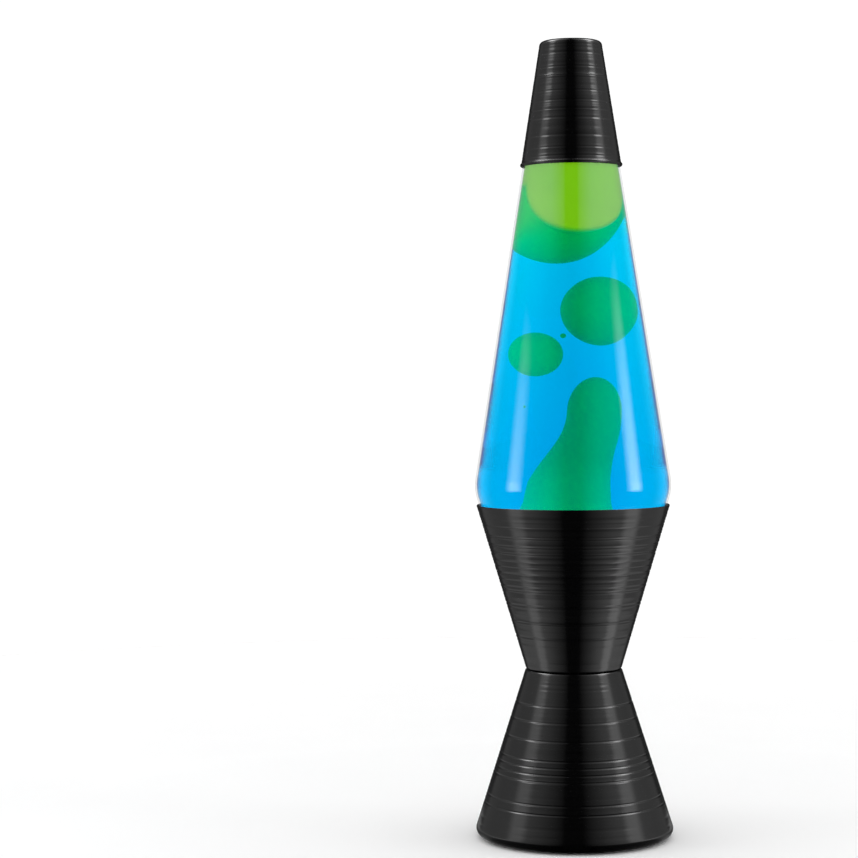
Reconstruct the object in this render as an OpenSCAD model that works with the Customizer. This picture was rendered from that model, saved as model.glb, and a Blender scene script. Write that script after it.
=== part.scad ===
// Lava lamp: two grooved cones for a base, a tapered glass globe of liquid and wax, and a grooved cap.
// The lamp stands on +Z. The origin is the centre of its footprint, on the surface it stands on.

/* [Base shells] */
// Height of the foot rim above the surface the lamp stands on
rim_lift = 1.0; // [0.6:0.1:2]
// Height of the lower cone
lower_h = 77.5; // [72:0.5:95]
// Height of the upper cone
upper_h = 76; // [74:0.5:92]
// Radius of the foot
foot_r = 45.7; // [38:0.1:56]
// Radius of the upper cone at the waist
waist_r = 22.1; // [21:0.1:27]
// Radius of the upper cone at its rim
rim_r = 44.7; // [40:0.1:54]
// Step from the upper cone out to the lower cone at the waist
waist_step = 0.6; // [0.2:0.1:1.5]
// Wall of the spun shells
shell_t = 0.8; // [0.6:0.1:1.2]
// Corner radius of the foot
foot_corner = 3.5; // [2.5:0.1:5]
// Radius of the hole through the waist
waist_hole_r = 14; // [13.5:0.1:14.5]

/* [Record grooves] */
// Width of a groove
groove_w = 1.1; // [0.6:0.1:1.6]
// Depth of a groove
groove_d = 0.3; // [0.2:0.05:0.5]

/* [Globe] */
// Largest radius of the globe
globe_r = 45.35; // [44.9:0.05:54.5]
// Radius of the globe where the cap's lip meets it
globe_top_r = 22.5; // [20:0.1:27]
// Height from the base's rim to the cap's lip
globe_view_h = 156.1; // [130:0.1:190]
// Depth of the globe's foot inside the base
seat_depth = 23; // [20:0.5:25]
// Glass wall
glass_t = 2.2; // [1.6:0.1:2.6]
// Glass bottom, from the foot up to the inside floor
glass_floor_t = 5.5; // [4.5:0.1:7]
// Radius of the bulge just above the base
bulge_r = 22; // [16:0.5:28]
// Corner radius of the globe's foot
heel_r = 6; // [4:0.1:8]
// Rise of the hollow under the globe
punt_h = 2.5; // [2:0.1:3.2]
// Outside radius of the bottle neck
neck_r = 12.9; // [10.7:0.1:13.5]
// Height of the taper that the cap hides
hidden_taper_h = 20; // [14:0.5:24]
// Length of the straight neck
neck_h = 16; // [13:0.1:17]
// Gap between the glass and the metal that touches it
seat_gap = 0.3; // [0.2:0.05:0.5]

/* [Cap] */
// Height of the cap
cap_h = 57.7; // [54:0.1:70]
// Wall of the cap
cap_t = 0.6; // [0.6:0.1:1.2]
// Corner radius at the cap's top
cap_corner = 2.2; // [1.5:0.1:5]
// How far the cap's lip stands out
lip_out = 0.3; // [0.2:0.1:1]
// Gap between the cap and the globe inside it
cap_gap = 0.2; // [0.15:0.05:0.5]
// Height of the cap's lip
lip_h = 1.8; // [1.2:0.1:2.6]

/* [Lamp bulb] */
// Largest radius of the bulb
bulb_r = 17.5; // [14.5:0.1:21]
// Length of the bulb, from tip contact to crown
bulb_len = 58.5; // [48:0.1:59]
// Middle radius of the screw thread
thread_r = 7.9; // [7.6:0.05:8.1]
// Half the depth of the screw thread
thread_half = 0.35; // [0.3:0.01:0.4]
// Rise of the screw thread in one turn
thread_pitch = 2.822; // [2.5:0.001:3]
// Radial gap between the bulb's thread and the socket's
thread_gap = 0.35; // [0.3:0.01:0.4]
// Height of the bulb's tip contact
bulb_z = 59.5; // [59:0.1:61]

/* [Cord entry] */
// Radius of the bushing's bore
cord_bore_r = 3.1; // [2.6:0.1:3.6]
// Height of the bushing's axis at the wall's outer face
cord_z = 14; // [12:0.5:18]

/* [Hidden] */
$fn = 96;

// Distances of the record grooves from the wide end of a base cone, and from the cap's lip.
cone_grooves = [13.5, 17.5, 27.5, 30.5, 33.5, 36.5, 45, 53, 60];
cap_grooves = [3.5, 7.5, 13, 21, 25, 29, 33.5, 40.5, 44.5, 51];

// Heights of the joints between the shells, the globe and the cap.
waist_z = rim_lift + lower_h;
rim_z = waist_z + upper_h;
lip_z = rim_z + globe_view_h;
top_z = lip_z + cap_h;

// Slopes of the shells, as the angle from vertical. The lower cone's side touches its corner at both ends.
lower_top_r = waist_r + waist_step;
waist_corner = 1.5;
foot_c = [foot_r - foot_corner, rim_lift + foot_corner];
waist_c = [lower_top_r - waist_corner, waist_z - waist_corner];
lower_a = acos((waist_corner - foot_corner) / norm(waist_c - foot_c))
    - atan2(waist_c[1] - foot_c[1], foot_c[0] - waist_c[0]);
upper_a = atan((rim_r - waist_r) / upper_h);

// Fasteners at the waist.
waist_ring_r = waist_r - 4.3;
screw_r = 1.5;
screw_clear = 0.1;
screw_head_r = 2.7;
screw_head_h = 1.6;
bracket_t = 1.2;
bracket_w = 14;
bracket_in = 13.4;
bracket_foot = waist_ring_r + 2.6;
nut_h = 2.4;
nut_r = 3;

// Lamp holder. Its parts stack downwards from the bulb's tip.
socket_r = 12.5;
socket_top_z = bulb_z + 17.3;
shell_seat_z = bulb_z + 1.5;
contact_seat_z = bulb_z - 2.7;
socket_z = bulb_z - 7.5;
holder_cap_h = 8;
holder_cap_wall = 1.5;
bridge_z = socket_z - holder_cap_h - bracket_t;
nipple_r = 4.85;
nipple_bore_r = 3.9;
nipple_h = 13;
nipple_up = 5;
locknut_h = 4;
locknut_r = 8.1;
running_gap = 0.1;
socket_shell_r = thread_r + thread_half + thread_gap + 1.1;

// Bottom cover, its ledge in the lower cone, its screws and its pads.
cover_t = 1.6;
cover_z = rim_lift + 0.4;
cover_gap = 0.2;
ledge_z = cover_z + cover_t;
ledge_r = foot_r - foot_corner - 0.4;
cover_r = ledge_r - shell_t - cover_gap;
ledge_in = cover_r - 4;
cover_screw_ring = cover_r - 2;
cover_screw_r = 1.2;
cover_head_r = 1.9;
cover_head_h = 1.2;
cover_sink = 0.8;
pad_r = 5;
pad_ring = cover_r - 8;

// Globe. The bulge is an arc that runs into the seat below it and into the long taper above it.
seat_r = rim_r - (shell_t + seat_gap) / cos(upper_a);
bulge_c = globe_r - bulge_r;
bulge_z = rim_z + (bulge_c + bulge_r * cos(upper_a) - seat_r) / tan(upper_a) + bulge_r * sin(upper_a);
to_lip = [globe_top_r - bulge_c, lip_z - bulge_z];
taper_a = atan2(to_lip[1], to_lip[0]) - acos(bulge_r / norm(to_lip));
globe_z = rim_z - seat_depth;
floor_z = globe_z + glass_floor_t;
foot_line_r = seat_r - seat_depth * tan(upper_a);
taper_top_z = lip_z + hidden_taper_h;
taper_top_r = globe_top_r - hidden_taper_h * tan(taper_a);
shoulder_r = 6.5;
neck_z = taper_top_z + shoulder_r * (1 - sin(taper_a));
mouth_z = neck_z + neck_h;
mouth_r = neck_r - 3.9;
bead_r = neck_r + 0.5;
fill_z = taper_top_z + 4;

// Crown closure.
crown_t = 0.3;
crown_flutes = 21;
crown_h = 6;
liner_t = 0.8;
crown_r = bead_r + 0.9;
crown_wave = 0.3;

// Cap. It is as steep as the globe, or less where the crown closure inside it needs the room.
crown_top_z = mouth_z + liner_t + crown_t;
crown_room = 1;
crown_limit_a = atan((globe_top_r + cap_gap - crown_r - crown_wave - crown_room) / (crown_top_z - lip_z));
cap_a = min(taper_a, crown_limit_a);
cap_lip_r = globe_top_r + (cap_gap + cap_t) / cos(cap_a);
cap_corner_c = [cap_lip_r - (cap_h - cap_corner) * tan(cap_a) - cap_corner / cos(cap_a), top_z - cap_corner];

// Bulb. Its parts stack upwards from the tip.
bulb_shell_z = bulb_z + 3.6;
bulb_thread_h = 12.4;
bulb_neck_z = bulb_shell_z + bulb_thread_h;
bulb_neck_r = 8.2;
bulb_wide_z = bulb_z + bulb_len - 20;
bulb_wall = 0.6;
bulb_shell_bore = 7.0;

// Cord bushing in the back of the lower cone, square to its wall.
bushing_r = cord_bore_r + 1.5;
bushing_lip = 1.2;
bushing_lip_t = 1.3;
bushing_tail = 3.2;
cord_wall_r = foot_c[0] + (foot_corner - (cord_z - foot_c[1]) * sin(lower_a)) / cos(lower_a);

// Wax and coil.
coil_ring_r = 25;
coil_wire_r = 3;
coil_lift = 0.3;
wax_gap = 0.05;

METAL_BLACK = [0.025, 0.025, 0.028];
STEEL = [0.62, 0.63, 0.65];
BRASS = [0.78, 0.60, 0.28];
PHENOLIC = [0.05, 0.045, 0.04];
LIQUID_BLUE = [0.0, 0.62, 0.95, 0.5];
WAX_GREEN = [0.45, 0.75, 0.05];

function arc(c, radius, from, to, steps = 10) =
    [for (i = [0 : steps]) let (a = from + (to - from) * i / steps) c + radius * [cos(a), sin(a)]];

// The same sheet seen from its other face.
function reverse(points) = [for (i = [len(points) - 1 : -1 : 0]) points[i]];

// A straight wall from p to q with a flat-bottomed groove at each height in zs.
function grooved(p, q, zs) =
    let (slope = (q[0] - p[0]) / (q[1] - p[1]))
    [p, each [for (z = zs) each [
        for (step = [[-0.5, 0], [-0.25, 1], [0.25, 1], [0.5, 0]])
            [p[0] + (z + step[0] * groove_w - p[1]) * slope - step[1] * groove_d, z + step[0] * groove_w]
    ]], q];

module turned(points) rotate_extrude() polygon(points);

module at_angles(angles, radius)
    for (a = angles) rotate([0, 0, a]) translate([radius, 0, 0]) children();

// A pan-head screw whose head stands on z = 0 and whose shank points down.
module pan_screw(shank_r, length, head_r, head_h) {
    difference() {
        union() {
            translate([0, 0, -length]) cylinder(r = shank_r, h = length);
            turned([[0, 0], [head_r, 0], each arc([head_r - head_h * 0.8, head_h * 0.2], head_h * 0.8, 0, 90, 5),
                    [0, head_h]]);
        }
        for (turn = [0, 90]) rotate([0, 0, turn])
            translate([-head_r * 0.55, -head_r * 0.11, head_h * 0.45])
                cube([head_r * 1.1, head_r * 0.22, head_h]);
    }
}

// A round rod whose screw thread comes from twisting a circle that sits off its axis.
module screw_rod(radius, z, h)
    translate([0, 0, z]) rotate([0, 0, 360 * z / thread_pitch])
        linear_extrude(height = h, twist = -360 * h / thread_pitch, slices = ceil(12 * h / thread_pitch), $fn = 20)
            translate([thread_half, 0]) circle(r = radius);

module lower_cone() color(METAL_BLACK) difference() {
    outer_low = foot_c + foot_corner * [cos(lower_a), sin(lower_a)];
    outer_top = waist_c + waist_corner * [cos(lower_a), sin(lower_a)];
    turned([
        [ledge_r - shell_t, rim_lift],
        each arc(foot_c, foot_corner, -90, lower_a),
        each grooved(outer_low, outer_top, [for (g = cone_grooves) rim_lift + 2.6 + g]),
        each arc(waist_c, waist_corner, lower_a, 90, 6),
        [waist_hole_r, waist_z],
        [waist_hole_r, waist_z - shell_t],
        each reverse(arc(waist_c, waist_corner - shell_t, lower_a, 90, 6)),
        each reverse(arc(foot_c, foot_corner - shell_t, -90, lower_a)),
        [ledge_r, rim_lift + shell_t],
        [ledge_r, ledge_z + shell_t],
        [ledge_in, ledge_z + shell_t],
        [ledge_in, ledge_z],
        [ledge_r - shell_t, ledge_z]
    ]);
    waist_holes();
    cover_screw_holes();
    cord_place() translate([0, 0, -6]) cylinder(r = bushing_r + running_gap, h = 12);
}

module upper_cone() color(METAL_BLACK) difference() {
    corner_c = [waist_r + waist_corner * (sin(upper_a) - 1) / cos(upper_a), waist_z + waist_corner];
    wall = shell_t / cos(upper_a);
    low = corner_c + waist_corner * [cos(upper_a), -sin(upper_a)];
    turned([
        [waist_hole_r, waist_z],
        each arc(corner_c, waist_corner, -90, -upper_a, 6),
        each grooved(low, [rim_r, rim_z], [for (g = reverse(cone_grooves)) rim_z - g]),
        [rim_r - wall, rim_z],
        each reverse(arc(corner_c, waist_corner - shell_t, -90, -upper_a, 6)),
        [waist_hole_r, waist_z + shell_t]
    ]);
    waist_holes();
}

module waist_holes()
    at_angles([0, 90, 180, 270], waist_ring_r)
        translate([0, 0, waist_z - 5]) cylinder(r = screw_r + screw_clear, h = 10);

module waist_screws() color(STEEL)
    at_angles([0, 180], waist_ring_r) translate([0, 0, waist_z + shell_t])
        pan_screw(screw_r, 2 * shell_t + bracket_t + nut_h + 1.5, screw_head_r, screw_head_h);

module waist_nuts() color(STEEL)
    at_angles([0, 180], waist_ring_r) translate([0, 0, waist_z - shell_t - bracket_t - nut_h]) difference() {
        cylinder(r = nut_r, h = nut_h, $fn = 6);
        translate([0, 0, -1]) cylinder(r = screw_r + 0.02, h = nut_h + 2);
    }

module waist_rivets() color(STEEL)
    at_angles([90, 270], waist_ring_r) turned([
        [0, waist_z - shell_t - 1.2], [2.4, waist_z - shell_t - 1.2], [2.6, waist_z - shell_t],
        [screw_r, waist_z - shell_t], [screw_r, waist_z + shell_t],
        each arc([0, waist_z + shell_t - 1.4], 2.95, 28.5, 90, 6)
    ]);

// A strap that hangs from the waist and carries the lamp holder on its bridge.
module socket_bracket() color(STEEL) difference() {
    foot_z = waist_z - shell_t - bracket_t;
    union() {
        for (side = [0, 180]) rotate([0, 0, side]) {
            translate([bracket_in, -bracket_w / 2, foot_z])
                cube([bracket_foot - bracket_in, bracket_w, bracket_t]);
            translate([bracket_in, -bracket_w / 2, bridge_z])
                cube([bracket_t, bracket_w, foot_z + bracket_t - bridge_z]);
        }
        translate([-bracket_in, -bracket_w / 2, bridge_z]) cube([2 * bracket_in, bracket_w, bracket_t]);
    }
    waist_holes();
    translate([0, 0, bridge_z - 1]) cylinder(r = nipple_r + running_gap, h = bracket_t + 2);
    // The feet's outer corners follow the shell.
    difference() {
        translate([0, 0, foot_z - 1]) cylinder(r = bracket_foot * 2, h = bracket_t + 2);
        translate([0, 0, foot_z - 2]) cylinder(r = bracket_foot, h = bracket_t + 4);
    }
}

module tube(outer, inner, z, h) translate([0, 0, z]) difference() {
    cylinder(r = outer, h = h);
    translate([0, 0, -1]) cylinder(r = inner, h = h + 2);
}

module bracket_nipple() color(BRASS)
    tube(nipple_r, nipple_bore_r, bridge_z + bracket_t + nipple_up - nipple_h, nipple_h);

module nipple_locknut() color(BRASS)
    translate([0, 0, bridge_z - locknut_h]) difference() {
        cylinder(r = locknut_r, h = locknut_h, $fn = 6);
        translate([0, 0, -1]) cylinder(r = nipple_r + 0.02, h = locknut_h + 2);
    }

module socket_cap() color(PHENOLIC) {
    low = bridge_z + bracket_t;
    turned([
        [nipple_r + 0.02, low], [socket_r - 1.5, low], [socket_r, low + 1.5], [socket_r, socket_z],
        [socket_r - holder_cap_wall, socket_z], [socket_r - holder_cap_wall, low + 2.2],
        [nipple_r + 3, low + 2.2], [nipple_r + 3, low + nipple_up], [nipple_r + 0.02, low + nipple_up]
    ]);
}

terminal_ring = 8.6;
terminal_r = 1.3;

module socket_body() color(PHENOLIC) difference() {
    turned([
        [0, socket_z], [socket_r, socket_z], [socket_r, socket_top_z - 1],
        [socket_r - 1, socket_top_z], [socket_shell_r + running_gap, socket_top_z],
        [socket_shell_r + running_gap, shell_seat_z], [7.3, shell_seat_z], [7.3, contact_seat_z],
        [0, contact_seat_z]
    ]);
    at_angles([90, 270], terminal_ring)
        translate([0, 0, socket_z - 1]) cylinder(r = terminal_r + 0.05, h = 6);
}

module socket_screw_shell() color(BRASS) difference() {
    h = bulb_neck_z - 0.5 - shell_seat_z;
    translate([0, 0, shell_seat_z]) cylinder(r = socket_shell_r, h = h);
    screw_rod(thread_r + thread_gap, shell_seat_z - thread_pitch / 2, h + thread_pitch);
}

// A sprung tongue under the bulb's tip.
module socket_centre_contact() color(BRASS) {
    t = 0.4;
    rise = bulb_z - 0.3 - contact_seat_z - t;
    outline = [for (i = [0 : 10]) [-5 + i, contact_seat_z + rise * (1 - cos(36 * min(i, 10 - i))) / 2]];
    rotate([90, 0, 0]) translate([0, 0, -2]) linear_extrude(4)
        polygon([each outline, each reverse([for (p = outline) p + [0, t]])]);
}

module socket_terminal_screws() color(BRASS)
    at_angles([90, 270], terminal_ring) translate([0, 0, socket_z]) mirror([0, 0, 1])
        pan_screw(terminal_r, 4.5, 2.3, 1.5);

// Origin on the lower cone's outer face at the back, with +Z square out of the wall.
module cord_place()
    translate([0, cord_wall_r, cord_z]) rotate([-90 + lower_a, 0, 0]) children();

module cord_bushing() color(PHENOLIC) cord_place() turned([
    [cord_bore_r, -bushing_tail], [bushing_r - 0.4, -bushing_tail], [bushing_r, -bushing_tail + 0.6],
    [bushing_r, 0.05], [bushing_r + bushing_lip, 0.05], [bushing_r + bushing_lip, bushing_lip_t - 0.5],
    [bushing_r + bushing_lip - 0.5, bushing_lip_t], [cord_bore_r, bushing_lip_t]
]);

module cover_screw_holes()
    at_angles([45, 135, 225, 315], cover_screw_ring)
        translate([0, 0, cover_z - 1]) cylinder(r = cover_screw_r + 0.02, h = cover_t + 3);

module bottom_cover() color(PHENOLIC) difference() {
    translate([0, 0, cover_z]) cylinder(r = cover_r, h = cover_t);
    cover_screw_holes();
    at_angles([45, 135, 225, 315], cover_screw_ring)
        translate([0, 0, cover_z - 1]) cylinder(r = cover_head_r + 0.1, h = 1 + cover_sink);
    // A ring of slots lets cool air in under the bulb.
    at_angles([for (i = [0 : 11]) 15 + 30 * i], 15) translate([0, 0, cover_z - 1]) {
        translate([-4, -1.2, 0]) cube([8, 2.4, cover_t + 2]);
        for (x = [-4, 4]) translate([x, 0, 0]) cylinder(r = 1.2, h = cover_t + 2);
    }
}

module cover_screws() color(STEEL)
    at_angles([45, 135, 225, 315], cover_screw_ring)
        translate([0, 0, cover_z + cover_sink]) mirror([0, 0, 1])
            pan_screw(cover_screw_r, cover_t + shell_t + 2, cover_head_r, cover_head_h);

module foot_pads() color([0.03, 0.03, 0.03])
    at_angles([0, 90, 180, 270], pad_ring)
        turned([[0, 0], [pad_r - 0.4, 0], [pad_r, 0.4], [pad_r, cover_z], [0, cover_z]]);

module bulb_tip_contact() color(STEEL)
    turned([each arc([0, bulb_z + 3], 3, -90, -37, 6), [2.4, bulb_z + 1.8], [0, bulb_z + 1.8]]);

module bulb_insulator() color([0.02, 0.02, 0.02])
    turned([[0, bulb_z + 1.8], [3, bulb_z + 1.8], [7.3, bulb_shell_z], [0, bulb_shell_z]]);

module bulb_screw_shell() color([0.80, 0.78, 0.70]) difference() {
    union() {
        screw_rod(thread_r, bulb_shell_z, bulb_thread_h);
        translate([0, 0, bulb_neck_z]) cylinder(r = bulb_neck_r + 0.6, h = 1.6);
    }
    translate([0, 0, bulb_shell_z - 1]) cylinder(r = bulb_shell_bore, h = bulb_thread_h + 1);
    translate([0, 0, bulb_neck_z - 1]) cylinder(r = bulb_shell_bore, h = 4);
    translate([0, 0, bulb_neck_z]) cylinder(r = bulb_neck_r, h = 4);
}

// Half outline of the bulb, from its neck to its crown, drawn at a distance inside the glass.
function bulb_outline(inset) =
    let (r = bulb_r - inset, top = bulb_z + bulb_len - inset)
    [
        [bulb_neck_r - inset, bulb_neck_z],
        each [for (i = [0 : 8]) let (t = i / 8)
            [bulb_neck_r - inset + (r - bulb_neck_r + inset) * (1 - cos(180 * t)) / 2,
             bulb_neck_z + 2 + (bulb_wide_z - bulb_neck_z - 2) * t]],
        each [for (a = [10 : 10 : 90]) [r * cos(a), bulb_wide_z + (top - bulb_wide_z) * sin(a)]]
    ];

module bulb_glass() color([0.95, 0.95, 0.95, 0.35])
    turned([each bulb_outline(0), each reverse(bulb_outline(bulb_wall))]);

stem_r = 3.2;
stem_top_z = bulb_neck_z + 12;

module bulb_stem() color([0.9, 0.95, 0.95, 0.4])
    turned([[0, bulb_neck_z], [bulb_neck_r - bulb_wall - 0.1, bulb_neck_z],
            [bulb_neck_r - bulb_wall - 0.4, bulb_neck_z + 0.8],
            each [for (a = [0 : 15 : 90]) [stem_r + 4 * (1 - sin(a)) * 0.6, bulb_neck_z + 1 + 5 * (1 - cos(a))]],
            [stem_r, stem_top_z - 2], [2, stem_top_z], [0, stem_top_z]]);

filament_span = 7;
filament_z = stem_top_z + 9;

module bulb_lead_wires() color(STEEL) for (side = [-1, 1]) {
    lean = atan((filament_span - 1.2) / (filament_z - stem_top_z));
    translate([side * 1.2, 0, stem_top_z + 0.18]) rotate([0, side * lean, 0])
        cylinder(r = 0.3, h = (filament_z - stem_top_z - 0.26) / cos(lean));
}

// The coiled filament, as the plain arc that its coil follows.
module bulb_filament() color([0.35, 0.33, 0.3])
    translate([0, 0, filament_z + 0.3]) rotate([90, 0, 0]) intersection() {
        translate([0, -9, 0]) rotate_extrude() translate([norm([filament_span, 9]), 0]) circle(r = 0.45);
        translate([-filament_span, -0.2, -2]) cube([2 * filament_span, 8, 4]);
    }

// Half outline of the globe at a distance inside its outer face, from the foot up to the neck.
function globe_outline(inset, low) =
    let (
        slant = inset / cos(upper_a),
        heel = heel_r - inset,
        line_r = foot_line_r - slant,
        turn = 90 - upper_a,
        heel_c = [line_r + (low + heel - globe_z) * tan(upper_a) - heel / cos(upper_a), low + heel],
        top = [taper_top_r, taper_top_z] - inset * [cos(taper_a), sin(taper_a)],
        shoulder_c = [taper_top_r, taper_top_z] - shoulder_r * [cos(taper_a), sin(taper_a)]
    )
    [
        each arc(heel_c, heel, -90, -upper_a, 8),
        each arc([bulge_c, bulge_z], bulge_r - inset, -upper_a, taper_a, 16),
        each arc(shoulder_c, shoulder_r - inset, taper_a, 80, 8)
    ];

module globe_glass() color([0.85, 0.93, 0.95, 0.3]) {
    outer = globe_outline(0, globe_z);
    inner = globe_outline(glass_t, floor_z);
    foot_flat_r = outer[0][0];
    punt_flat_r = foot_flat_r - 3;
    turned([
        each [for (i = [8 : -1 : 1]) [punt_flat_r * (1 - i / 8), globe_z + punt_h * sin(90 * i / 8)]],
        [punt_flat_r, globe_z],
        each outer,
        [neck_r, neck_z], [neck_r, mouth_z - 6], [bead_r, mouth_z - 5], [bead_r, mouth_z - 1.5],
        [bead_r - 1.5, mouth_z], [mouth_r, mouth_z], [mouth_r, neck_z - glass_t],
        each reverse(inner),
        [0, floor_z]
    ]);
}

// The space inside the globe, up to the liquid's surface.
module globe_inside() intersection() {
    turned([[0, floor_z], each globe_outline(glass_t, floor_z), [mouth_r, neck_z - glass_t],
            [mouth_r, neck_z], [0, neck_z]]);
    translate([0, 0, floor_z - 1]) cylinder(r = globe_r, h = fill_z - floor_z + 1);
}

module crown_closure() color(STEEL) {
    top = crown_top_z;
    wave = [for (i = [0 : crown_flutes * 6 - 1]) let (a = i * 60 / crown_flutes)
        (crown_r + crown_wave * cos(a * crown_flutes)) * [cos(a), sin(a)]];
    difference() {
        union() {
            translate([0, 0, top - crown_h]) linear_extrude(crown_h - 1) polygon(wave);
            translate([0, 0, top - 1.2]) cylinder(r1 = crown_r - crown_wave, r2 = crown_r - crown_wave - 0.3, h = 1.2);
        }
        translate([0, 0, top - crown_h - 1]) cylinder(r = bead_r + 0.05, h = crown_h + 1 - crown_t);
    }
}

module crown_liner() color([0.9, 0.9, 0.85])
    translate([0, 0, mouth_z]) cylinder(r = bead_r - 0.4, h = liner_t);

module coil_ring(extra = 0)
    translate([0, 0, floor_z + coil_wire_r + coil_lift])
        rotate_extrude() translate([coil_ring_r, 0]) circle(r = coil_wire_r + extra);

module heating_coil() color(STEEL) coil_ring();

// Wax shapes before the glass cuts them. Each is turned about its own upright or leaning axis.
function half_ellipse(r, h) = [for (a = [-90 : 10 : 90]) [r * cos(a), h * sin(a)]];

large_blob_at = [9.5, 2, lip_z - 68];
large_blob_size = [13.4, 16.1];
small_blob_at = [-13.1, -3, lip_z - 87.8];
small_blob_size = [10.3, 10.2];
droplets = [[-3.3, -8, lip_z - 79.2, 1.1], [-19, -16, lip_z - 111.1, 0.5]];
dome_back_at = [-5, 2, lip_z - 11.6];
dome_back_size = [22, 33.4];
dome_front_at = [2.8, -17.8, lip_z - 7.6];
dome_front_size = [25, 25];
mound_lean = 9;
mound_head_h = lip_z - floor_z - 97.6;

module blob(at, size) translate(at) turned(half_ellipse(size[0], size[1]));

module dome_shape() {
    blob(dome_back_at, dome_back_size);
    blob(dome_front_at, dome_front_size);
}

// A pool on the floor that draws up into a leaning column with a round head.
module mound_shape()
    translate([-3, 0, floor_z - 1]) rotate([0, mound_lean, 0]) turned([
        [0, -12], [46, -12],
        each [for (i = [0 : 10]) let (t = i / 10)
            [10.2 + 29 * pow(1 - t, 2.6) - 1.6 * sin(180 * t), 8 + (mound_head_h - 20) * t]],
        each [for (a = [15 : 15 : 90]) [10.2 * cos(a), mound_head_h - 12 + 12 * sin(a)]]
    ]);

module wax_mound() color(WAX_GREEN) difference() {
    intersection() {
        globe_inside();
        mound_shape();
    }
    coil_ring(wax_gap);
}

module wax_dome() color(WAX_GREEN) intersection() {
    globe_inside();
    dome_shape();
}

module wax_large_blob() color(WAX_GREEN) blob(large_blob_at, large_blob_size);

module wax_small_blob() color(WAX_GREEN) blob(small_blob_at, small_blob_size);

module wax_droplets() color(WAX_GREEN)
    for (d = droplets) translate([d[0], d[1], d[2]]) sphere(r = d[3]);

module liquid() color(LIQUID_BLUE) difference() {
    globe_inside();
    mound_shape();
    dome_shape();
    blob(large_blob_at, large_blob_size + [wax_gap, wax_gap]);
    blob(small_blob_at, small_blob_size + [wax_gap, wax_gap]);
    for (d = droplets) translate([d[0], d[1], d[2]]) sphere(r = d[3] + wax_gap);
}

module cap_shell() color(METAL_BLACK) {
    wall = cap_t / cos(cap_a);
    bead = lip_h / 2;
    outer_start = lip_z + lip_h;
    turned([
        [cap_lip_r - wall, lip_z],
        each arc([cap_lip_r + lip_out - bead, lip_z + bead], bead, -90, 60, 8),
        each grooved([cap_lip_r - lip_h * tan(cap_a), outer_start],
                     cap_corner_c + cap_corner * [cos(cap_a), sin(cap_a)],
                     [for (g = cap_grooves) lip_z + g]),
        each arc(cap_corner_c, cap_corner, cap_a, 90, 8),
        [0, top_z],
        [0, top_z - cap_t],
        each reverse(arc(cap_corner_c, cap_corner - cap_t, cap_a, 90, 8))
    ]);
}

lower_cone();
upper_cone();
waist_screws();
waist_nuts();
waist_rivets();
socket_bracket();
bracket_nipple();
nipple_locknut();
socket_cap();
socket_body();
socket_screw_shell();
socket_centre_contact();
socket_terminal_screws();
cord_bushing();
bottom_cover();
cover_screws();
foot_pads();
bulb_tip_contact();
bulb_insulator();
bulb_screw_shell();
bulb_glass();
bulb_stem();
bulb_lead_wires();
bulb_filament();
globe_glass();
crown_closure();
crown_liner();
liquid();
heating_coil();
wax_mound();
wax_dome();
wax_large_blob();
wax_small_blob();
wax_droplets();
cap_shell();
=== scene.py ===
import math
import random

import bmesh
import bpy
from mathutils import Matrix, Vector, noise


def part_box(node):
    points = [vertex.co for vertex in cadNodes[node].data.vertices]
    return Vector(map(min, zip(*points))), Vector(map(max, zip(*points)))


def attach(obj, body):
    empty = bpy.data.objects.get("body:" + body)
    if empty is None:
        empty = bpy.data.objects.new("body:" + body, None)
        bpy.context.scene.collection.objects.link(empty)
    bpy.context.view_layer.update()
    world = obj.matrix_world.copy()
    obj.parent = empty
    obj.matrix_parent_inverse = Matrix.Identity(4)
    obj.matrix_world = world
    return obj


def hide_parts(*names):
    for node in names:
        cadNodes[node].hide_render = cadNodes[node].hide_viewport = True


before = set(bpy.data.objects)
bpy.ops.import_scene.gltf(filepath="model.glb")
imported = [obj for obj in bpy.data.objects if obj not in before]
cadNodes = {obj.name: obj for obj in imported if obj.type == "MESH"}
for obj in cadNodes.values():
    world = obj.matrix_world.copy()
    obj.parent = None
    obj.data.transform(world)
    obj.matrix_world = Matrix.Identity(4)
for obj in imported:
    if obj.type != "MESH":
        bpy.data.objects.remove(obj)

# Lava lamp on a pale table: two grooved black cones, a globe of blue liquid with green wax, and a cap.
# Sizes in the dictionaries are millimetres unless a note says otherwise.

mm = 0.001
scene = bpy.context.scene
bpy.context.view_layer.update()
print("frame loaded with", len(cadNodes), "nodes")


# ---- general helpers ----

def addPiece(name, points, faces, sharpAngle=40):
    mesh = bpy.data.meshes.new(name)
    mesh.from_pydata([Vector(p) * mm for p in points], [], faces)
    piece = bpy.data.objects.new(name, mesh)
    scene.collection.objects.link(piece)
    finishMesh(mesh, sharpAngle)
    return piece


# Faces point outwards and are smooth, but for edges sharper than the angle given.
def finishMesh(mesh, sharpAngle=40):
    work = bmesh.new()
    work.from_mesh(mesh)
    bmesh.ops.remove_doubles(work, verts=work.verts, dist=1e-8)
    bmesh.ops.recalc_face_normals(work, faces=work.faces)
    limit = math.radians(sharpAngle)
    for edge in work.edges:
        edge.smooth = len(edge.link_faces) != 2 or edge.calc_face_angle() < limit
    for face in work.faces:
        face.smooth = True
    work.to_mesh(mesh)
    work.free()
    mesh.update()


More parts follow.
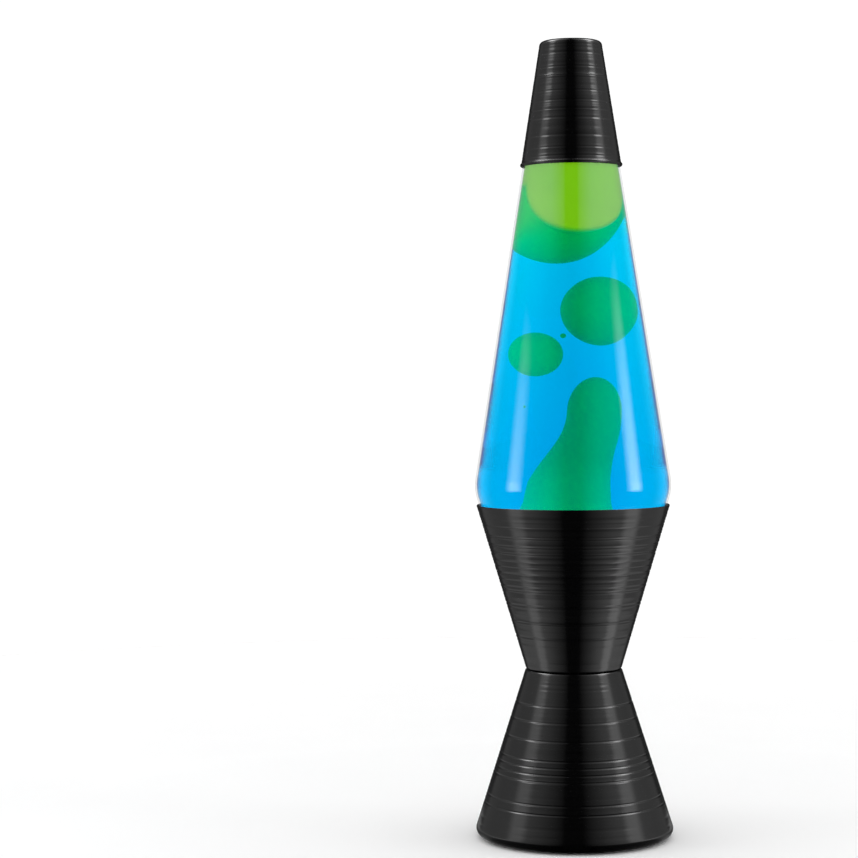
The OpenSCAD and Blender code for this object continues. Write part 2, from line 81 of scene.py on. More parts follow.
# Turns a closed outline of (radius, height) points about the upright axis.
# The bands list names a material index for each stretch of the outline.
def turnPiece(name, outline, steps=160, bands=None, sharpAngle=40):
    points, rings = [], []
    for r, z in outline:
        if r < 0.001:
            rings.append([len(points)] * steps)
            points.append((0, 0, z))
        else:
            rings.append(list(range(len(points), len(points) + steps)))
            points += [(r * math.cos(math.tau * k / steps), r * math.sin(math.tau * k / steps), z)
                       for k in range(steps)]
    faces, bandOf = [], []
    for i in range(len(outline)):
        here, there = rings[i], rings[(i + 1) % len(outline)]
        if here[0] == here[1] and there[0] == there[1]:
            continue
        for k in range(steps):
            n = (k + 1) % steps
            faces.append(list(dict.fromkeys((here[k], here[n], there[n], there[k]))))
            bandOf.append(bands[i] if bands else 0)
    piece = addPiece(name, points, faces, sharpAngle)
    if bands:
        piece.data.polygons.foreach_set("material_index", bandOf)
    return piece


def arcPoints(centre, radius, fromAngle, toAngle, count):
    out = []
    for i in range(count + 1):
        a = math.radians(fromAngle + (toAngle - fromAngle) * i / count)
        out.append((centre[0] + radius * math.cos(a), centre[1] + radius * math.sin(a)))
    return out


# A round tube along a path, used for wires and coils.
def wirePiece(name, path, radius, sides=8):
    points, faces = [], []
    count = len(path)
    up = Vector((0.13, 0.21, 1)).normalized()
    for i, p in enumerate(path):
        ahead, behind = Vector(path[min(i + 1, count - 1)]), Vector(path[max(i - 1, 0)])
        along = (ahead - behind).normalized()
        across = along.cross(up).normalized()
        other = along.cross(across)
        for k in range(sides):
            a = math.tau * k / sides
            points.append(Vector(p) + radius * (across * math.cos(a) + other * math.sin(a)))
        if i:
            for k in range(sides):
                n = (k + 1) % sides
                faces.append(((i - 1) * sides + k, (i - 1) * sides + n, i * sides + n, i * sides + k))
    faces.append(tuple(range(sides)))
    faces.append(tuple((count - 1) * sides + k for k in range(sides)))
    return addPiece(name, points, faces, 60)


# Cuts the given cylinders, each (start, end, radius), out of a piece.
def drillHoles(piece, cylinders):
    points, faces, sides = [], [], 40
    for start, end, radius in cylinders:
        a, b = Vector(start), Vector(end)
        along = (b - a).normalized()
        across = along.orthogonal().normalized()
        other = along.cross(across)
        first = len(points)
        for centre in (a, b):
            for k in range(sides):
                t = math.tau * k / sides
                points.append(centre + radius * (across * math.cos(t) + other * math.sin(t)))
        for k in range(sides):
            n = (k + 1) % sides
            faces.append((first + k, first + n, first + sides + n, first + sides + k))
        faces.append(tuple(first + k for k in range(sides)))
        faces.append(tuple(first + sides + k for k in range(sides)))
    cutter = addPiece("holeCutter", points, faces)
    boolean = piece.modifiers.new("holes", "BOOLEAN")
    boolean.operation = "DIFFERENCE"
    boolean.solver = "EXACT"
    boolean.object = cutter
    applyModifiers(piece)
    bpy.data.objects.remove(cutter)


def applyModifiers(piece):
    shown = piece.evaluated_get(bpy.context.evaluated_depsgraph_get())
    piece.data = bpy.data.meshes.new_from_object(shown)
    piece.modifiers.clear()


def place(piece, body, nodeNames, slotName, *materials):
    piece.data.materials.clear()
    for m in materials:
        piece.data.materials.append(m)
    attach(piece, body)
    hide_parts(*nodeNames)


# ---- materials ----

def startMaterial(name, **sockets):
    mat = bpy.data.materials.new(name)
    mat.use_nodes = True
    shader = mat.node_tree.nodes["Principled BSDF"]
    for key, value in sockets.items():
        shader.inputs[key].default_value = value
    return mat, mat.node_tree, shader


def objectPlace(tree, scale=(1, 1, 1)):
    where = tree.nodes.new("ShaderNodeTexCoord")
    mapping = tree.nodes.new("ShaderNodeMapping")
    mapping.inputs["Scale"].default_value = scale
    tree.links.new(where.outputs["Object"], mapping.inputs["Vector"])
    return mapping.outputs["Vector"]


def noiseOf(tree, vector, scale, detail=3.0, rough=0.55):
    tex = tree.nodes.new("ShaderNodeTexNoise")
    tex.inputs["Scale"].default_value = scale
    tex.inputs["Detail"].default_value = detail
    tex.inputs["Roughness"].default_value = rough
    tree.links.new(vector, tex.inputs["Vector"])
    return tex.outputs["Fac"]


# Carries a value from one range to another.
def spanOf(tree, value, fromMin, fromMax, toMin=0.0, toMax=1.0):
    span = tree.nodes.new("ShaderNodeMapRange")
    span.inputs["From Min"].default_value = fromMin
    span.inputs["From Max"].default_value = fromMax
    span.inputs["To Min"].default_value = toMin
    span.inputs["To Max"].default_value = toMax
    tree.links.new(value, span.inputs["Value"])
    return span.outputs["Result"]


# A colour for each value, from stops of (value, colour).
def colourRamp(tree, value, stops):
    ramp = tree.nodes.new("ShaderNodeValToRGB")
    held = ramp.color_ramp.elements
    for i, (at, colour) in enumerate(stops):
        stop = held[0] if i == 0 else held[-1] if i == len(stops) - 1 else held.new(at)
        stop.position = at
        stop.color = (*colour, 1)
    tree.links.new(value, ramp.inputs["Fac"])
    return ramp.outputs["Color"]


noiseSwing = (0.3, 0.7)    # where most of a noise's values lie


def tint(tree, value, dark, light):
    return colourRamp(tree, value, [(noiseSwing[0], dark), (noiseSwing[1], light)])


def mathOf(tree, kind, *values):
    node = tree.nodes.new("ShaderNodeMath")
    node.operation = kind
    for i, value in enumerate(values):
        if isinstance(value, (int, float)):
            node.inputs[i].default_value = value
        else:
            tree.links.new(value, node.inputs[i])
    return node.outputs["Value"]


def splitOf(tree, vector):
    split = tree.nodes.new("ShaderNodeSeparateXYZ")
    tree.links.new(vector, split.inputs["Vector"])
    return split.outputs


def bumpOf(tree, shader, height, distance, strength=0.5):
    bump = tree.nodes.new("ShaderNodeBump")
    bump.inputs["Strength"].default_value = strength
    bump.inputs["Distance"].default_value = distance
    tree.links.new(height, bump.inputs["Height"])
    tree.links.new(bump.outputs["Normal"], shader.inputs["Normal"])


# An empty material whose surface is a mix of two shaders: share 0 is all the first.
def mixedMaterial(name, share, first, second):
    mat = bpy.data.materials.new(name)
    mat.use_nodes = True
    tree = mat.node_tree
    tree.nodes.clear()
    mix = tree.nodes.new("ShaderNodeMixShader")
    nodes = [tree.nodes.new("ShaderNode" + kind) for kind in (first, second)]
    tree.links.new(share(tree), mix.inputs["Fac"])
    for i, node in enumerate(nodes):
        tree.links.new(node.outputs[0], mix.inputs[i + 1])
    tree.links.new(mix.outputs["Shader"], tree.nodes.new("ShaderNodeOutputMaterial").inputs["Surface"])
    return mat, tree, nodes


# Colour and gloss that wander a little, with a fine bump: the base of most finishes here.
def wornFinish(name, dark, light, gloss, scale=(1, 1, 1), size=60, bumpSize=900, bumpHeight=0.00002, **sockets):
    mat, tree, shader = startMaterial(name, **sockets)
    where = objectPlace(tree, scale)
    cloud = noiseOf(tree, where, size)
    tree.links.new(tint(tree, cloud, dark, light), shader.inputs["Base Color"])
    tree.links.new(spanOf(tree, noiseOf(tree, where, size * 2.3, 4), *noiseSwing, *gloss), shader.inputs["Roughness"])
    bumpOf(tree, shader, noiseOf(tree, where, bumpSize, 2), bumpHeight)
    return mat


# Black paint on turned metal: the gloss changes from ring to ring.
ringStretch = (0.4, 0.4, 60)
recordBlack = wornFinish("recordBlack", (0.0004, 0.0004, 0.0005), (0.0011, 0.0011, 0.0012), (0.07, 0.17),
                         ringStretch, 14, 60, 0.00001, **{"IOR": 1.5, "Specular IOR Level": 0.5})
shellInside = wornFinish("shellInside", (0.030, 0.030, 0.031), (0.055, 0.054, 0.052), (0.45, 0.6), size=40)
plainSteel = wornFinish("plainSteel", (0.42, 0.42, 0.43), (0.60, 0.60, 0.62), (0.28, 0.42), (1, 8, 1), 50,
                        Metallic=1.0)
zincSteel = wornFinish("zincSteel", (0.55, 0.56, 0.52), (0.75, 0.76, 0.73), (0.25, 0.38), size=120, Metallic=1.0)
turnedBrass = wornFinish("turnedBrass", (0.60, 0.40, 0.13), (0.80, 0.58, 0.24), (0.22, 0.36), (1, 1, 20), 60,
                         Metallic=1.0)
nickelShell = wornFinish("nickelShell", (0.60, 0.58, 0.54), (0.80, 0.78, 0.74), (0.12, 0.25), size=90, Metallic=1.0)
solderLead = wornFinish("solderLead", (0.33, 0.33, 0.34), (0.50, 0.50, 0.51), (0.3, 0.5), size=300,
                        bumpSize=500, bumpHeight=0.0001, Metallic=1.0)
darkPhenolic = wornFinish("darkPhenolic", (0.010, 0.008, 0.007), (0.022, 0.018, 0.015), (0.22, 0.36), size=110)
blackPlastic = wornFinish("blackPlastic", (0.010, 0.010, 0.010), (0.018, 0.018, 0.018), (0.42, 0.56), size=80,
                          bumpSize=2500, bumpHeight=0.00004)
padRubber = wornFinish("padRubber", (0.014, 0.014, 0.014), (0.028, 0.028, 0.027), (0.72, 0.88), size=200,
                       bumpSize=1800, bumpHeight=0.00008)
blackGlass = wornFinish("blackGlass", (0.004, 0.004, 0.006), (0.012, 0.012, 0.015), (0.06, 0.14), size=150)
tungstenWire = wornFinish("tungstenWire", (0.20, 0.19, 0.18), (0.32, 0.31, 0.29), (0.35, 0.5), size=900,
                          Metallic=1.0, **{"Emission Color": (1.0, 0.62, 0.28, 1), "Emission Strength": 2.0})
crownTin = wornFinish("crownTin", (0.62, 0.58, 0.46), (0.80, 0.76, 0.64), (0.16, 0.3), size=90, Metallic=1.0)
linerFoam = wornFinish("linerFoam", (0.66, 0.66, 0.62), (0.80, 0.80, 0.75), (0.6, 0.75), size=300)
coilWire = wornFinish("coilWire", (0.40, 0.41, 0.43), (0.58, 0.59, 0.61), (0.2, 0.32), size=200, Metallic=1.0)


# Clear glass that doesn't bend what is behind it: only its gloss shows, more of it at a slant.
def clearGlass(name, tintColour, gloss, roughness):
    def slantShare(tree):
        slant = tree.nodes.new("ShaderNodeLayerWeight")
        slant.inputs["Blend"].default_value = 0.5
        steep = mathOf(tree, "POWER", slant.outputs["Facing"], 5.0)
        return mathOf(tree, "MULTIPLY_ADD", steep, 0.96 * gloss, 0.04 * gloss)

    mat, tree, (clear, shine) = mixedMaterial(name, slantShare, "BsdfTransparent", "BsdfGlossy")
    clear.inputs["Color"].default_value = (*tintColour, 1)
    shine.inputs["Color"].default_value = (1, 1, 1, 1)
    shine.inputs["Roughness"].default_value = roughness
    ripple = noiseOf(tree, objectPlace(tree, (1, 1, 0.35)), 30, 1)
    bumpOf(tree, shine, ripple, 0.0002, 0.15)    # blown glass is never quite even
    return mat


globeClear = clearGlass("globeClear", (0.985, 0.99, 0.995), 0.4, 0.0)
globeWet = clearGlass("globeWet", (0.99, 0.995, 1.0), 0.01, 0.0)
bulbClear = clearGlass("bulbClear", (0.98, 0.98, 0.98), 0.9, 0.01)

# Blue liquid: clear and bluer with depth; its blue emission is painted light, standing in for bulb light scattered in
# the cloudy liquid.
blueLiquid, liquidTree, liquidShader = startMaterial(
    "blueLiquid", **{"Base Color": (1, 1, 1, 1), "Roughness": 0.0, "IOR": 1.36, "Transmission Weight": 1.0,
                     "Specular Tint": (0.1, 0.1, 0.1, 1)})
absorb = liquidTree.nodes.new("ShaderNodeVolumeAbsorption")
absorb.inputs["Color"].default_value = (0.0, 0.9757, 0.9922, 1)
absorb.inputs["Density"].default_value = 500.0
# Painted light: a blue glow in the liquid's volume in place of scattered bulb light.
liquidPaintedGlow = liquidTree.nodes.new("ShaderNodeEmission")
liquidPaintedGlow.inputs["Color"].default_value = (0.0, 0.46, 1.0, 1)
liquidPaintedGlow.inputs["Strength"].default_value = 2.7
depth = liquidTree.nodes.new("ShaderNodeAddShader")
liquidTree.links.new(absorb.outputs["Volume"], depth.inputs[0])
liquidTree.links.new(liquidPaintedGlow.outputs["Emission"], depth.inputs[1])
liquidTree.links.new(depth.outputs["Shader"], liquidTree.nodes["Material Output"].inputs["Volume"])

# Lime wax with painted light: its emission is no lamp but stands in for light falling on it, yellower where it is near
# the front glass, bluer deep in the liquid.
# Sizes in metres; each list of painted light is (share of the way out to the side, colour).
waxPaintedLight = {"sideReach": 42.0, "nearGlass": 0.001, "deep": 0.008,
           "taper": 0.158, "lipRadius": 0.0225, "lipHeight": 0.3106,
           "near": [(0.0, (0.135, 0.32, 0.002)), (0.11, (0.135, 0.32, 0.002)), (0.15, (0.16, 0.335, 0.03)),
                    (0.38, (0.195, 0.355, 0.115)), (1.0, (0.23, 0.365, 0.165))],
           "far": [(0.0, (0.08, 0.20, 0.045)), (0.11, (0.08, 0.21, 0.045)), (0.15, (0.08, 0.23, 0.055)),
                   (0.38, (0.10, 0.34, 0.125)), (1.0, (0.12, 0.44, 0.27))],
           "steps": [(0.175, 0.150, 1.6), (0.262, 0.270, 1.12), (0.276, 0.284, 0.893)]}
limeWax, waxTree, waxShader = startMaterial("limeWax", **{"Roughness": 0.4, "Specular IOR Level": 0.05})
waxWhere = objectPlace(waxTree)
waxTree.links.new(tint(waxTree, noiseOf(waxTree, waxWhere, 28, 2), (0.08, 0.30, 0.003), (0.12, 0.36, 0.006)),
                  waxShader.inputs["Base Color"])
waxX, waxY, waxZ = splitOf(waxTree, waxWhere)
# Painted side light: the wax's emission grows with its distance out to either side, where the soft boxes shine.
sideLightShare = mathOf(waxTree, "MULTIPLY", mathOf(waxTree, "ABSOLUTE", waxX), waxPaintedLight["sideReach"])
# How far the wax is from the glass, whose radius shrinks with height.
reach = mathOf(waxTree, "SQRT", mathOf(waxTree, "ADD", mathOf(waxTree, "POWER", waxX, 2.0),
                                       mathOf(waxTree, "POWER", waxY, 2.0)))
glassAt = mathOf(waxTree, "MULTIPLY_ADD", waxZ, -waxPaintedLight["taper"],
                 waxPaintedLight["lipRadius"] + waxPaintedLight["taper"] * waxPaintedLight["lipHeight"])
inDeep = spanOf(waxTree, mathOf(waxTree, "SUBTRACT", glassAt, reach), waxPaintedLight["nearGlass"], waxPaintedLight["deep"])
paintedLightMix = waxTree.nodes.new("ShaderNodeMix")
paintedLightMix.data_type = "RGBA"
waxTree.links.new(inDeep, paintedLightMix.inputs[0])
waxTree.links.new(colourRamp(waxTree, sideLightShare, waxPaintedLight["near"]), paintedLightMix.inputs[6])
waxTree.links.new(colourRamp(waxTree, sideLightShare, waxPaintedLight["far"]), paintedLightMix.inputs[7])
waxTree.links.new(paintedLightMix.outputs[2], waxShader.inputs["Emission Color"])
# Painted light from the bulb below: the emission is stronger just above the bulb at the foot, and a little in the
# dome's lower part.
glow = 1.0    # brighter just above the bulb at the foot, and a little in the dome's lower part
for fromZ, toZ, level in waxPaintedLight["steps"]:
    glow = mathOf(waxTree, "MULTIPLY", spanOf(waxTree, waxZ, fromZ, toZ, 1.0, level), glow)
waxTree.links.new(glow, waxShader.inputs["Emission Strength"])
bumpOf(waxTree, waxShader, noiseOf(waxTree, waxWhere, 120, 1), 0.0002, 0.3)
print("materials ready")


# ---- turned metal shells ----

# A deep groove across its width: (share of the width, share of the depth).
grooveShape = [(-0.5, 0.0), (-0.2, 0.85), (0.0, 1.0), (0.2, 0.85), (0.5, 0.0)]


# Points up a straight wall, with fine turning marks and the deep grooves between them.
def turnedWall(low, high, deep, style, seed):
    chance = random.Random(seed)
    slope = (high[0] - low[0]) / (high[1] - low[1])

    def wallAt(z, depth):
        return (low[0] + (z - low[1]) * slope - depth, z)

    marks, z, dip = [], low[1] + style["pitch"] / 2, True
    while z < high[1] - style["pitch"] / 3:
        if all(abs(z - g) > style["deepWidth"] * 0.62 for g in deep):
            near = min(z - low[1], high[1] - z) < style["edgeBand"]
            depth = style["edgeDepth"] if near else style["fineDepth"]
            marks.append(wallAt(z, depth * chance.uniform(0.15, 1.0) if dip else 0.0))
        dip = not dip
        z += style["pitch"] / 2 * chance.uniform(0.65, 1.35)
    for g in deep:
        size = chance.uniform(0.8, 1.15)
        for share, depth in grooveShape:
            marks.append(wallAt(g + share * style["deepWidth"], depth * style["deepDepth"] * size))
    return [low] + sorted(marks, key=lambda p: p[1]) + [high]


def joinOutline(*parts):
    outline, bands = [], []
    for points, band in parts:
        outline += points
        bands += [band] * len(points)
    return outline, bands


coneStyle = {"wall": 0.8, "pitch": 1.3, "fineDepth": 0.25, "edgeDepth": 0.18, "edgeBand": 5.5,
             "deepWidth": 1.1, "deepDepth": 0.2}
coneGrooves = [13.5, 17.5, 27.5, 30.5, 33.5, 36.5, 45.0, 53.0, 60.0]
waistBolts = {"ringInset": 4.3, "radius": 1.6, "openRadius": 14.0}


def coneHoles(waistRadius, z):
    ring = waistRadius - waistBolts["ringInset"]
    return [((ring * x, ring * y, z - 3), (ring * x, ring * y, z + 3), waistBolts["radius"])
            for x, y in ((1, 0), (0, 1), (-1, 0), (0, -1))]


# Lower cone: its foot is rolled in and carries the ledge that the bottom cover is screwed to.
lowerCone = {"footRadius": 45.675, "footCorner": 3.5, "waistCorner": 1.5, "waistRadius": 22.1, "step": 0.6,
             "ledge": 2.0, "ledgeGap": 0.4, "ledgeWidth": 5.0, "firstGroove": 2.6, "cordHole": 4.7, "cordCut": 9}
lowFloor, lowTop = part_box("lower_cone")[0].z / mm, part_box("lower_cone")[1].z / mm
wall = coneStyle["wall"]
footCentre = (lowerCone["footRadius"] - lowerCone["footCorner"], lowFloor + lowerCone["footCorner"])
waistTop = lowerCone["waistRadius"] + lowerCone["step"]
waistCentre = (waistTop - lowerCone["waistCorner"], lowTop - lowerCone["waistCorner"])
away = math.hypot(waistCentre[0] - footCentre[0], waistCentre[1] - footCentre[1])
lowSlant = math.degrees(math.acos((lowerCone["waistCorner"] - lowerCone["footCorner"]) / away)
                        - math.atan2(waistCentre[1] - footCentre[1], footCentre[0] - waistCentre[0]))
footSide = arcPoints(footCentre, lowerCone["footCorner"], -90, lowSlant, 14)
waistSide = arcPoints(waistCentre, lowerCone["waistCorner"], lowSlant, 90, 8)
ledgeRadius = lowerCone["footRadius"] - lowerCone["footCorner"] - lowerCone["ledgeGap"]
ledgeTop = lowFloor + lowerCone["ledge"]
lowerStyle = dict(coneStyle, fineDepth=0.03, edgeDepth=0.09, edgeBand=7.0, pitch=1.2, deepDepth=0.34)
lowGrooves = [lowFloor + lowerCone["firstGroove"] + g for g in coneGrooves]
ledgeInner = ledgeRadius - lowerCone["ledgeWidth"]
outline, bands = joinOutline(
    ([(ledgeRadius - wall, lowFloor)], 0), (footSide[:-1], 0),
    (turnedWall(footSide[-1], waistSide[0], lowGrooves, lowerStyle, 3), 0), (waistSide[1:], 0),
    ([(waistBolts["openRadius"], lowTop), (waistBolts["openRadius"], lowTop - wall)], 1),
    (arcPoints(waistCentre, lowerCone["waistCorner"] - wall, 90, lowSlant, 8), 1),
    (arcPoints(footCentre, lowerCone["footCorner"] - wall, lowSlant, -90, 14), 1),
    ([(ledgeRadius, lowFloor + wall), (ledgeRadius, ledgeTop + wall), (ledgeInner, ledgeTop + wall),
      (ledgeInner, ledgeTop), (ledgeRadius - wall, ledgeTop)], 1))
lowerShell = turnPiece("lowerConeShell", outline, 192, bands)
cordAxis = Vector((0, math.cos(math.radians(lowSlant)), math.sin(math.radians(lowSlant))))
bushLow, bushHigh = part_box("cord_bushing")
cordCentre = (bushLow + bushHigh) / 2 / mm
cordCut = cordAxis * lowerCone["cordCut"]
drillHoles(lowerShell, coneHoles(lowerCone["waistRadius"], lowTop)
           + [(cordCentre - cordCut, cordCentre + cordCut, lowerCone["cordHole"])])
finishMesh(lowerShell.data)
place(lowerShell, "base", ["lower_cone"], "black_paint", recordBlack, shellInside)

# Upper cone: a plain rim that the globe sits in.
upFloor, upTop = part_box("upper_cone")[0].z / mm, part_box("upper_cone")[1].z / mm
rimRadius, waistRadius = 44.7, lowerCone["waistRadius"]
upSlant = math.degrees(math.atan((rimRadius - waistRadius) / (upTop - upFloor)))
upSin, upCos = math.sin(math.radians(upSlant)), math.cos(math.radians(upSlant))
corner = lowerCone["waistCorner"]
upCentre = (waistRadius + corner * (upSin - 1) / upCos, upFloor + corner)
upSide = arcPoints(upCentre, corner, -90, -upSlant, 8)
upGrooves = [upTop - g for g in coneGrooves]
outline, bands = joinOutline(
    ([(waistBolts["openRadius"], upFloor)], 0), (upSide[:-1], 0),
    (turnedWall(upSide[-1], (rimRadius, upTop - 0.35), upGrooves, coneStyle, 8), 0),
    ([(rimRadius - 0.2, upTop), (rimRadius - wall / upCos + 0.15, upTop)], 0),
    ([(rimRadius - wall / upCos, upTop - 0.2)], 1),
    (arcPoints(upCentre, corner - wall, -upSlant, -90, 8), 1),
    ([(waistBolts["openRadius"], upFloor + wall)], 1))
upperShell = turnPiece("upperConeShell", outline, 192, bands)
drillHoles(upperShell, coneHoles(waistRadius, upFloor))
finishMesh(upperShell.data)
place(upperShell, "base", ["upper_cone"], "black_paint", recordBlack, shellInside)

# Cap: parallel to the glass inside it, with a rolled lip.
cap = {"wall": 0.6, "corner": 2.2, "lipOut": 0.3, "lipHeight": 1.8, "gap": 0.2, "glassRadius": 22.5,
       "grooves": [3.5, 7.5, 13.0, 21.0, 25.0, 29.0, 33.5, 40.5, 44.5, 51.0]}
capLow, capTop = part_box("cap_shell")[0].z / mm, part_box("cap_shell")[1].z / mm
globe = {"radius": 45.35, "bulge": 22.0, "seatGap": 0.3, "neck": 12.9, "shoulder": 6.5, "heel": 6.0,
         "wallSeen": 0.8, "punt": 2.5, "floor": 5.5, "hiddenTaper": 20.0, "bead": 0.5}
seatRadius = rimRadius - (wall + globe["seatGap"]) / upCos
bulgeCentre = (globe["radius"] - globe["bulge"],
               upTop + (globe["radius"] - globe["bulge"] + globe["bulge"] * upCos - seatRadius) / (upSin / upCos)
               + globe["bulge"] * upSin)
toLip = (cap["glassRadius"] - bulgeCentre[0], capLow - bulgeCentre[1])
taper = math.degrees(math.atan2(toLip[1], toLip[0]) - math.acos(globe["bulge"] / math.hypot(*toLip)))
taperSin, taperCos = math.sin(math.radians(taper)), math.cos(math.radians(taper))
capRadius = cap["glassRadius"] + (cap["gap"] + cap["wall"]) / taperCos
capCentre = (capRadius - (capTop - capLow - cap["corner"]) * taperSin / taperCos - cap["corner"] / taperCos,
             capTop - cap["corner"])
capSide = arcPoints(capCentre, cap["corner"], taper, 90, 12)
lipRound = cap["lipHeight"] / 2
capStyle = dict(coneStyle, pitch=1.2, fineDepth=0.085, edgeDepth=0.10, deepWidth=1.0, deepDepth=0.09)
outline, bands = joinOutline(
    ([(capRadius - cap["wall"] / taperCos, capLow)], 0),
    (arcPoints((capRadius + cap["lipOut"] - lipRound, capLow + lipRound), lipRound, -90, 62, 10), 0),
    (turnedWall((capRadius - cap["lipHeight"] * taperSin / taperCos, capLow + cap["lipHeight"]), capSide[0],
                [capLow + g for g in cap["grooves"]], capStyle, 21), 0),
    (capSide[1:], 0), ([(0, capTop)], 0), ([(0, capTop - cap["wall"])], 1),
    (arcPoints(capCentre, cap["corner"] - cap["wall"], 90, taper, 10), 1))
capPiece = turnPiece("grooveCap", outline, 192, bands)
place(capPiece, "cap", ["cap_shell"], "black_paint", recordBlack, shellInside)
print("metal shells turned")


# ---- globe ----

globeFoot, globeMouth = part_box("globe_glass")[0].z / mm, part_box("globe_glass")[1].z / mm
taperTop = (cap["glassRadius"] - globe["hiddenTaper"] * taperSin / taperCos, capLow + globe["hiddenTaper"])
shoulderCentre = (taperTop[0] - globe["shoulder"] * taperCos, taperTop[1] - globe["shoulder"] * taperSin)
neckFoot = shoulderCentre[1] + globe["shoulder"]
footLine = seatRadius - (upTop - globeFoot) * upSin / upCos


# The glass's outline from its foot to its neck, at a distance inside the outer face.
def globeSide(inset, low):
    heel = globe["heel"] - inset
    heelCentre = (footLine - inset / upCos + (low + heel - globeFoot) * upSin / upCos - heel / upCos, low + heel)
    return (arcPoints(heelCentre, heel, -90, -upSlant, 10)
            + arcPoints(bulgeCentre, globe["bulge"] - inset, -upSlant, taper, 30)
            + [(taperTop[0] + t * (bulgeCentre[0] + globe["bulge"] * taperCos - taperTop[0]) - inset * taperCos,
                taperTop[1] + t * (bulgeCentre[1] + globe["bulge"] * taperSin - taperTop[1]) - inset * taperSin)
               for t in (0.8, 0.6, 0.4, 0.2)]
            + arcPoints(shoulderCentre, globe["shoulder"] - inset, taper, 84, 12))


seen = globe["wallSeen"]
outer = globeSide(0.0, globeFoot)
inner = globeSide(seen, globeFoot + globe["floor"])
puntRadius = outer[0][0] - 3.0
punt = [(puntRadius * math.cos(math.radians(9 * i)), globeFoot + globe["punt"] * math.sin(math.radians(9 * i)))
        for i in range(10, -1, -1)]
mouthRadius, bead = globe["neck"] - 3.9, globe["neck"] + globe["bead"]
outline, bands = joinOutline(
    ([(0, punt[0][1])] + punt[1:], 0), (outer, 0),
    ([(globe["neck"], neckFoot), (globe["neck"], globeMouth - 6), (bead - 0.1, globeMouth - 5.3),
      (bead, globeMouth - 4.6), (bead, globeMouth - 1.7), (bead - 0.4, globeMouth - 0.6),
      (bead - 1.4, globeMouth), (mouthRadius + 0.5, globeMouth), (mouthRadius, globeMouth - 0.5)], 0),
    ([(mouthRadius, neckFoot - 2.2)], 1), (inner[::-1], 1), ([(0, globeFoot + globe["floor"])], 1))
globeGlass = turnPiece("globeGlass", outline, 160, bands)
place(globeGlass, "globe", ["globe_glass"], "globe_glass", globeClear, globeWet)

# Liquid: fills the glass to the foot of its neck, with a curled edge at its surface.
fillLevel = taperTop[1] + 4.0
side = [p for p in globeSide(seen + 0.1, globeFoot + globe["floor"] + 0.1) if p[1] < fillLevel - 1.5]
outline = [(0, globeFoot + globe["floor"] + 0.1)] + side
outline += [(mouthRadius + 3.3, fillLevel - 1.4), (mouthRadius + 0.2, fillLevel - 1.1), (mouthRadius - 0.1, fillLevel),
            (mouthRadius - 0.7, fillLevel - 0.5), (mouthRadius - 1.8, fillLevel - 0.75), (0, fillLevel - 0.85)]
liquidBody = turnPiece("blueLiquidBody", outline, 160)
place(liquidBody, "globe", ["liquid"], "liquid", blueLiquid)


# The inside radius of the glass at a height, where wax can reach.
sideSeen = globeSide(seen + 0.14, globeFoot + globe["floor"] + 0.14)


def insideRadius(z):
    if z <= sideSeen[0][1]:
        return sideSeen[0][0]
    for a, b in zip(sideSeen, sideSeen[1:]):
        if a[1] <= z <= b[1] and b[1] > a[1]:
            return a[0] + (b[0] - a[0]) * (z - a[1]) / (b[1] - a[1])
    return mouthRadius


# Wax that reaches the glass flattens against it; a soft edge leaves the glass gradually.
def pressToGlass(mesh, low, high, keepOff=0.0, soft=0.0):
    for v in mesh.vertices:
        x, y, z = v.co / mm
        z = min(max(z, low), high)
        reach, limit = math.hypot(x, y), insideRadius(z) - keepOff
        held = min(reach, limit)
        if soft and abs(limit - reach) < soft * 8:
            held = limit - soft * math.log(1 + math.exp((limit - reach) / soft))
        if reach > 0:
            x, y = x * held / reach, y * held / reach
        v.co = Vector((x, y, z)) * mm


# A wax ball: round, stretched, and uneven like slow liquid.
def waxBall(name, centre, size, uneven, seed, rings=72, steps=96):
    points, faces = [], []
    for i in range(rings + 1):
        up = math.pi * (i / rings - 0.5)
        for k in range(steps if 0 < i < rings else 1):
            turn = math.tau * k / steps
            way = Vector((math.cos(up) * math.cos(turn), math.cos(up) * math.sin(turn), math.sin(up)))
            swell = 1 + uneven * noise.noise(way * 0.9 + Vector((seed, seed * 0.7, 0)))
            points.append([centre[a] + size[a] * way[a] * swell for a in range(3)])
    for i in range(rings):
        for k in range(steps):
            n = (k + 1) % steps
            low = (0, 0) if i == 0 else (1 + (i - 1) * steps + k, 1 + (i - 1) * steps + n)
            top = 1 + (rings - 1) * steps
            high = (top, top) if i == rings - 1 else (1 + i * steps + k, 1 + i * steps + n)
            faces.append(list(dict.fromkeys((low[0], low[1], high[1], high[0]))))
    return addPiece(name, points, faces, 180)


floorOfWax = globeFoot + globe["floor"] + 0.16
largeBlob = {"centre": (9.3, 2.0, 242.6), "size": (13.2, 13.0, 16.0), "uneven": 0.05, "seed": 3.1}
smallBlob = {"centre": (-13.1, -3.0, 222.8), "size": (10.1, 10.0, 10.1), "uneven": 0.05, "seed": 7.7}
blobPiece = waxBall("waxLargeBlob", **largeBlob)
place(blobPiece, "large_blob", ["wax_large_blob"], "wax", limeWax)
blobPiece = waxBall("waxSmallBlob", **smallBlob)
place(blobPiece, "small_blob", ["wax_small_blob"], "wax", limeWax)

# Droplets: (centre, radius).
droplets = [((-3.3, -8.0, 231.4), 1.1), ((-19.0, -16.0, 199.5), 0.5)]


def joinPieces(name, pieces):
    bpy.ops.object.select_all(action="DESELECT")
    for p in pieces:
        p.select_set(True)
    bpy.context.view_layer.objects.active = pieces[0]
    bpy.ops.object.join()
    pieces[0].name = name
    return pieces[0]


